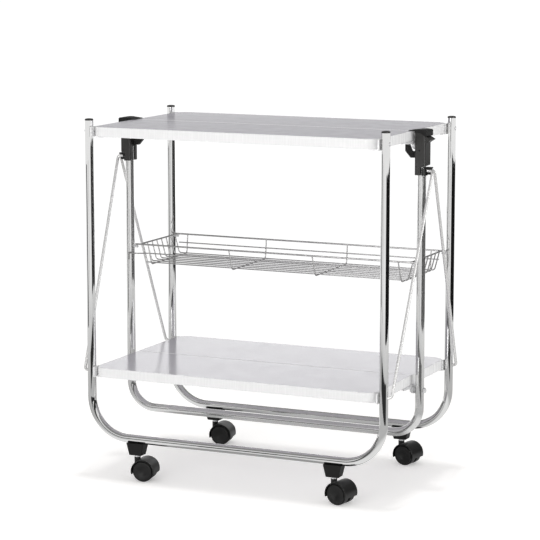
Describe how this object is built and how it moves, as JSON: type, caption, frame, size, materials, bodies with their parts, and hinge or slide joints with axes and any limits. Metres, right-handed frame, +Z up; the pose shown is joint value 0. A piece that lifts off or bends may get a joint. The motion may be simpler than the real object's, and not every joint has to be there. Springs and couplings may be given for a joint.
{
  "type": "kitchen trolley",
  "caption": "Folding kitchen trolley with chromed tube frames, white shelves, a wire bottle basket and twin-wheel casters.",
  "frame": {"origin": "on the floor, midway between the outer posts and between the front and back frames", "axes": "+X to the right seen from the front, +Y from front to back, +Z up"},
  "size_m": [0.6492, 0.3832, 0.6746],
  "materials": {
    "chrome_tube": "polished chrome plate on bent steel tube",
    "chrome_wire": "polished chrome plate on drawn steel wire",
    "bright_steel": "bright turned steel",
    "black_plastic": "satin moulded plastic",
    "wheel_plastic": "fine matt moulded nylon",
    "white_board": "white gloss laminate on fibreboard",
    "white_edge": "white gloss edge band",
    "plated_bracket": "zinc-plated pressed steel",
    "screw_steel": "zinc-plated screws"
  },
  "bodies": {
    "middle_frame": {"middle_frame_tube": "chrome_tube", "catch_housing_left": "black_plastic", "catch_housing_right": "black_plastic", "catch_housing_caps": "black_plastic", "lever_pins": "bright_steel", "middle_hinge_pins": "bright_steel", "hinge_spacers": "bright_steel", "middle_basket_studs": "bright_steel"},
    "release_lever_left": {"release_lever_left": "black_plastic"},
    "release_lever_right": {"release_lever_right": "black_plastic"},
    "basket": {"basket_rim": "chrome_wire", "basket_wires": "chrome_wire"},
    "top_shelf_front": {"top_front_board": "white_board", "top_front_edge_band": "white_edge", "top_front_hinge_brackets": "plated_bracket", "top_front_pivot_plates": "plated_bracket", "top_front_screws": "screw_steel"},
    "top_shelf_back": {"top_back_board": "white_board", "top_back_edge_band": "white_edge", "top_back_hinge_brackets": "plated_bracket", "top_back_pivot_plates": "plated_bracket", "top_back_screws": "screw_steel"},
    "lower_shelf_front": {"lower_front_board": "white_board", "lower_front_edge_band": "white_edge", "lower_front_hinge_brackets": "plated_bracket", "lower_front_pivot_plates": "plated_bracket", "lower_front_screws": "screw_steel"},
    "lower_shelf_back": {"lower_back_board": "white_board", "lower_back_edge_band": "white_edge", "lower_back_hinge_brackets": "plated_bracket", "lower_back_pivot_plates": "plated_bracket", "lower_back_screws": "screw_steel"},
    "front_frame": {"front_frame_tube": "chrome_tube", "front_post_caps": "black_plastic", "front_shelf_rivets": "bright_steel", "front_caster_sockets": "black_plastic"},
    "back_frame": {"back_frame_tube": "chrome_tube", "back_post_caps": "black_plastic", "back_shelf_rivets": "bright_steel", "back_caster_sockets": "black_plastic", "back_basket_studs": "bright_steel"},
    "slider_left": {"slider_left": "black_plastic"},
    "stay_front_left": {"stay_front_left": "chrome_wire"},
    "stay_back_left": {"stay_back_left": "chrome_wire"},
    "slider_right": {"slider_right": "black_plastic"},
    "stay_front_right": {"stay_front_right": "chrome_wire"},
    "stay_back_right": {"stay_back_right": "chrome_wire"},
    "caster_front_left": {"caster_hood_front_left": "black_plastic", "caster_stem_front_left": "bright_steel"},
    "wheels_front_left": {"caster_wheels_front_left": "wheel_plastic"},
    "caster_back_left": {"caster_hood_back_left": "black_plastic", "caster_stem_back_left": "bright_steel"},
    "wheels_back_left": {"caster_wheels_back_left": "wheel_plastic"},
    "caster_front_right": {"caster_hood_front_right": "black_plastic", "caster_stem_front_right": "bright_steel"},
    "wheels_front_right": {"caster_wheels_front_right": "wheel_plastic"},
    "caster_back_right": {"caster_hood_back_right": "black_plastic", "caster_stem_back_right": "bright_steel"},
    "wheels_back_right": {"caster_wheels_back_right": "wheel_plastic"}
  },
  "joints": [
    {"name": "fold", "type": "hinge", "parent": "middle_frame", "child": "top_shelf_front", "pos_m": [0, 0, 0.634], "axis": [1, 0, 0], "range_deg": [0, 80]},
    {"name": "top_back_fold", "type": "hinge", "parent": "middle_frame", "child": "top_shelf_back", "pos_m": [0, 0, 0.634], "axis": [-1, 0, 0], "range_deg": [0, 80]},
    {"name": "lower_front_fold", "type": "hinge", "parent": "middle_frame", "child": "lower_shelf_front", "pos_m": [0, 0, 0.1835], "axis": [1, 0, 0], "range_deg": [0, 80]},
    {"name": "lower_back_fold", "type": "hinge", "parent": "middle_frame", "child": "lower_shelf_back", "pos_m": [0, 0, 0.1835], "axis": [-1, 0, 0], "range_deg": [0, 80]},
    {"name": "front_frame_pivot", "type": "hinge", "parent": "top_shelf_front", "child": "front_frame", "pos_m": [0, -0.165, 0.6515], "axis": [-1, 0, 0], "range_deg": [0, 80]},
    {"name": "back_frame_pivot", "type": "hinge", "parent": "top_shelf_back", "child": "back_frame", "pos_m": [0, 0.165, 0.6515], "axis": [1, 0, 0], "range_deg": [0, 80]},
    {"name": "slider_left_travel", "type": "slide", "parent": "middle_frame", "child": "slider_left", "axis": [0, 0, -1], "range_m": [0, 0.14707]},
    {"name": "stay_front_left_swing", "type": "hinge", "parent": "front_frame", "child": "stay_front_left", "pos_m": [0, -0.165, 0.201], "axis": [1, 0, 0], "range_deg": [0, 16.8]},
    {"name": "stay_back_left_swing", "type": "hinge", "parent": "back_frame", "child": "stay_back_left", "pos_m": [0, 0.165, 0.201], "axis": [-1, 0, 0], "range_deg": [0, 16.8]},
    {"name": "slider_right_travel", "type": "slide", "parent": "middle_frame", "child": "slider_right", "axis": [0, 0, -1], "range_m": [0, 0.14707]},
    {"name": "stay_front_right_swing", "type": "hinge", "parent": "front_frame", "child": "stay_front_right", "pos_m": [0, -0.165, 0.201], "axis": [1, 0, 0], "range_deg": [0, 16.8]},
    {"name": "stay_back_right_swing", "type": "hinge", "parent": "back_frame", "child": "stay_back_right", "pos_m": [0, 0.165, 0.201], "axis": [-1, 0, 0], "range_deg": [0, 16.8]},
    {"name": "caster_front_left_swivel", "type": "hinge", "parent": "front_frame", "child": "caster_front_left", "pos_m": [-0.2, -0.165, 0.045], "axis": [0, 0, 1], "continuous": true},
    {"name": "wheels_front_left_roll", "type": "hinge", "parent": "caster_front_left", "child": "wheels_front_left", "pos_m": [-0.18523, -0.1624, 0.02], "axis": [-0.1736, 0.9848, 0], "continuous": true},
    {"name": "caster_back_left_swivel", "type": "hinge", "parent": "back_frame", "child": "caster_back_left", "pos_m": [-0.2, 0.165, 0.045], "axis": [0, 0, 1], "continuous": true},
    {"name": "wheels_back_left_roll", "type": "hinge", "parent": "caster_back_left", "child": "wheels_back_left", "pos_m": [-0.18523, 0.1676, 0.02], "axis": [-0.1736, 0.9848, 0], "continuous": true},
    {"name": "caster_front_right_swivel", "type": "hinge", "parent": "front_frame", "child": "caster_front_right", "pos_m": [0.2, -0.165, 0.045], "axis": [0, 0, 1], "continuous": true},
    {"name": "wheels_front_right_roll", "type": "hinge", "parent": "caster_front_right", "child": "wheels_front_right", "pos_m": [0.21477, -0.1676, 0.02], "axis": [0.1736, 0.9848, 0], "continuous": true},
    {"name": "caster_back_right_swivel", "type": "hinge", "parent": "back_frame", "child": "caster_back_right", "pos_m": [0.2, 0.165, 0.045], "axis": [0, 0, 1], "continuous": true},
    {"name": "wheels_back_right_roll", "type": "hinge", "parent": "caster_back_right", "child": "wheels_back_right", "pos_m": [0.21477, 0.1624, 0.02], "axis": [0.1736, 0.9848, 0], "continuous": true},
    {"name": "release_lever_left_pull", "type": "hinge", "parent": "middle_frame", "child": "release_lever_left", "pos_m": [-0.2995, 0, 0.626], "axis": [0, 1, 0], "range_deg": [0, 10], "stiffness_Nm_per_rad": 0.05, "springref_deg": -5.73},
    {"name": "release_lever_right_pull", "type": "hinge", "parent": "middle_frame", "child": "release_lever_right", "pos_m": [0.2995, 0, 0.626], "axis": [0, -1, 0], "range_deg": [0, 10], "stiffness_Nm_per_rad": 0.05, "springref_deg": -5.73},
    {"name": "basket_lift", "type": "slide", "parent": "middle_frame", "child": "basket", "axis": [0, 0, 1], "range_m": [0, 0.03]}
  ],
  "couplings": [
    {"joint": "top_back_fold", "follows": "fold", "ratio": 1},
    {"joint": "lower_front_fold", "follows": "fold", "ratio": 1},
    {"joint": "lower_back_fold", "follows": "fold", "ratio": 1},
    {"joint": "front_frame_pivot", "follows": "fold", "ratio": 1},
    {"joint": "back_frame_pivot", "follows": "fold", "ratio": 1},
    {"joint": "slider_left_travel", "follows": "fold", "m_per_rad": 0.10533},
    {"joint": "stay_front_left_swing", "follows": "fold", "ratio": 0.20994},
    {"joint": "stay_back_left_swing", "follows": "fold", "ratio": 0.20994},
    {"joint": "slider_right_travel", "follows": "fold", "m_per_rad": 0.10533},
    {"joint": "stay_front_right_swing", "follows": "fold", "ratio": 0.20994},
    {"joint": "stay_back_right_swing", "follows": "fold", "ratio": 0.20994}
  ]
}
